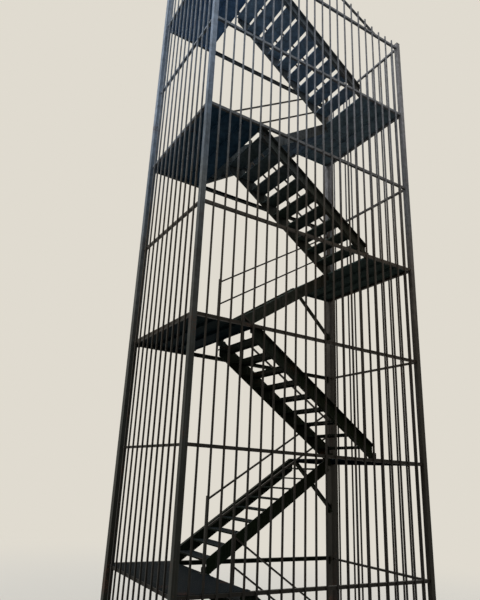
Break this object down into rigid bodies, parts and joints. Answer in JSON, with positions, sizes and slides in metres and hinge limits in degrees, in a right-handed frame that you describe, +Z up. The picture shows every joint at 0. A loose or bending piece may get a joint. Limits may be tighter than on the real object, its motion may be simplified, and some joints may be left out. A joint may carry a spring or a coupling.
{
  "type": "fire escape stair",
  "caption": "Caged dog-leg steel fire escape stair: corner posts, barred sides, open-riser plate flights and landings, open at the back towards the storeys it serves.",
  "frame": {"origin": "on the ground under the middle of the tower, halfway between its four posts", "axes": "+X along the barred front from left to right as seen from the front, +Y from the front to the open back, +Z up"},
  "size_m": [4.06, 2.16, 11.64],
  "materials": {
    "post_paint": "satin paint",
    "bar_paint": "satin paint",
    "tread_paint": "worn satin paint",
    "deck_paint": "worn satin paint",
    "frame_paint": "satin paint",
    "railing_paint": "satin paint"
  },
  "bodies": {
    "root": {"back_beams": "frame_paint", "base_plates": "post_paint", "flight_0_railing": "railing_paint", "flight_0_stringers": "frame_paint", "flight_0_treads": "tread_paint", "flight_1_railing": "railing_paint", "flight_1_stringers": "frame_paint", "flight_1_treads": "tread_paint", "flight_2_railing": "railing_paint", "flight_2_stringers": "frame_paint", "flight_2_treads": "tread_paint", "flight_3_railing": "railing_paint", "flight_3_stringers": "frame_paint", "flight_3_treads": "tread_paint", "flight_4_railing": "railing_paint", "flight_4_stringers": "frame_paint", "flight_4_treads": "tread_paint", "flight_5_railing": "railing_paint", "flight_5_stringers": "frame_paint", "flight_5_treads": "tread_paint", "flight_6_railing": "railing_paint", "flight_6_stringers": "frame_paint", "flight_6_treads": "tread_paint", "floor_0_deck": "deck_paint", "floor_0_frame": "frame_paint", "floor_1_deck": "deck_paint", "floor_1_frame": "frame_paint", "floor_2_deck": "deck_paint", "floor_2_frame": "frame_paint", "floor_3_deck": "deck_paint", "floor_3_frame": "frame_paint", "front_panel": "bar_paint", "half_1_deck": "deck_paint", "half_1_frame": "frame_paint", "half_2_deck": "deck_paint", "half_2_frame": "frame_paint", "half_3_deck": "deck_paint", "half_3_frame": "frame_paint", "knee_braces": "frame_paint", "left_panel": "bar_paint", "post_back_left": "post_paint", "post_back_right": "post_paint", "post_caps": "post_paint", "post_front_left": "post_paint", "post_front_right": "post_paint", "right_panel": "bar_paint", "top_guard": "railing_paint"}
  },
  "joints": []
}
